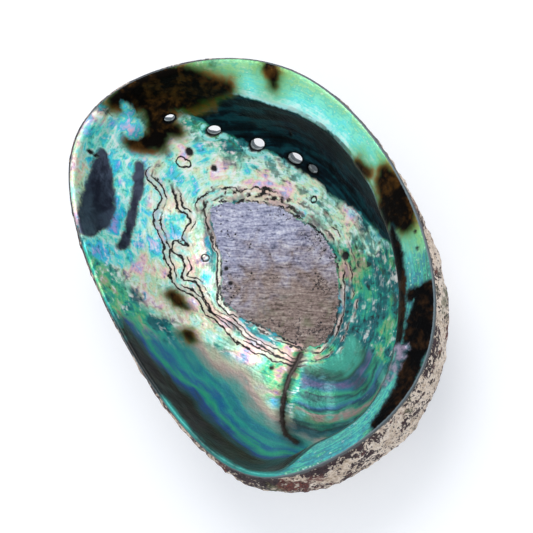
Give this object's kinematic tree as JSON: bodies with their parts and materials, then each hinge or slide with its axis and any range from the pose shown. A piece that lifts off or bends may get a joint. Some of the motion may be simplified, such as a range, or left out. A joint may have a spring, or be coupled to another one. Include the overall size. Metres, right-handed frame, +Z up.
{
  "type": "abalone shell",
  "caption": "Low oval abalone shell with an open bowl, a broad inner shelf, a row of breathing holes, iridescent mother-of-pearl inside and a rough coralline crust outside.",
  "frame": {"origin": "middle of the small worn flat under the shell, which it rests on, hollow side up", "axes": "+Z up out of the hollow; +X along the length to the front end, away from the spire; -Y towards the row of breathing holes and the shelf; +Y towards the thin outer lip"},
  "size_m": [0.142, 0.1003, 0.038],
  "materials": {
    "shell": "gloss"
  },
  "bodies": {
    "root": {"shell": "shell"}
  },
  "joints": []
}
